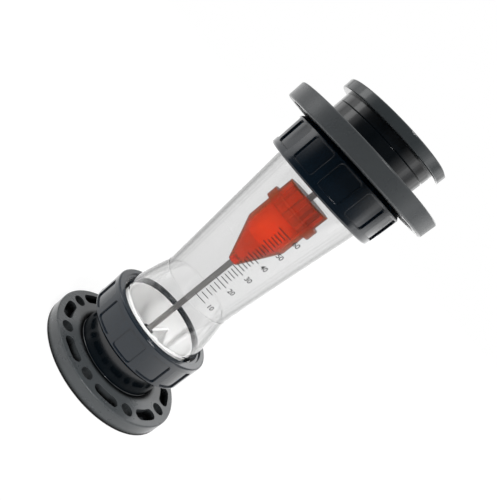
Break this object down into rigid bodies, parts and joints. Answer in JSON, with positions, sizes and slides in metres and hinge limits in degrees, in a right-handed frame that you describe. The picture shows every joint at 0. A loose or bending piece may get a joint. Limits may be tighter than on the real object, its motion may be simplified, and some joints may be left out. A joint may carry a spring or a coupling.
{
  "type": "rotameter",
  "caption": "Variable area flow meter: a tapered clear tube with a guided float, held by union nuts between two loose pipe flanges.",
  "frame": {"origin": "centre of the lower sealing face", "axes": "+Z along the flow, from the lower flange to the upper one; -Y towards the scale side"},
  "size_m": [0.215, 0.215, 0.47],
  "materials": {
    "clear_tube": "clear polished plastic",
    "grey_plastic": "glossy moulded, dark grey",
    "nut_plastic": "satin moulded, dark grey",
    "flange_plastic": "satin moulded, mid grey",
    "white_plastic": "natural white moulded",
    "seal_rubber": "matte black",
    "rod_steel": "drawn stainless bar",
    "float_red": "translucent red moulded",
    "core_orange": "orange moulded ballast",
    "scale_ink": "black print on the tube",
    "bush_plastic": "dull red bearing plastic"
  },
  "bodies": {
    "meter": {"measuring_tube": "clear_tube", "lower_flange_adapter": "grey_plastic", "upper_flange_adapter": "grey_plastic", "lower_union_end": "grey_plastic", "upper_union_end": "grey_plastic", "lower_rod_support": "white_plastic", "upper_rod_support": "white_plastic", "lower_tube_seal": "seal_rubber", "upper_tube_seal": "seal_rubber", "guide_rod": "rod_steel", "lower_rod_nut": "rod_steel", "lower_rod_lock_nut": "rod_steel", "lower_rod_washer": "rod_steel", "upper_rod_nut": "rod_steel", "upper_rod_lock_nut": "rod_steel", "upper_rod_washer": "rod_steel", "lower_float_stop": "seal_rubber", "upper_float_stop": "seal_rubber", "upper_stop_sleeve": "rod_steel"},
    "float": {"float_shell": "float_red", "float_cap": "float_red", "float_core": "core_orange", "float_tip_bush": "bush_plastic", "float_top_bush": "bush_plastic"},
    "lower_flange_ring": {"lower_flange": "flange_plastic"},
    "upper_flange_ring": {"upper_flange": "flange_plastic"},
    "lower_nut": {"lower_union_nut": "nut_plastic"},
    "upper_nut": {"upper_union_nut": "nut_plastic"}
  },
  "joints": [
    {"name": "float_slide", "type": "slide", "parent": "meter", "child": "float", "axis": [0, 0, 1], "range_m": [-0.1476, 0.0152]},
    {"name": "lower_flange_slide", "type": "slide", "parent": "meter", "child": "lower_flange_ring", "axis": [0, 0, 1], "range_m": [0, 0.0386]},
    {"name": "upper_flange_slide", "type": "slide", "parent": "meter", "child": "upper_flange_ring", "axis": [0, 0, 1], "range_m": [0, 0.0386]},
    {"name": "lower_nut_turn", "type": "hinge", "parent": "meter", "child": "lower_nut", "pos_m": [0, 0, 0.085], "axis": [0, 0, 1], "range_deg": [0, 720]},
    {"name": "upper_nut_turn", "type": "hinge", "parent": "meter", "child": "upper_nut", "pos_m": [0, 0, 0.385], "axis": [0, 0, -1], "range_deg": [0, 720]}
  ]
}
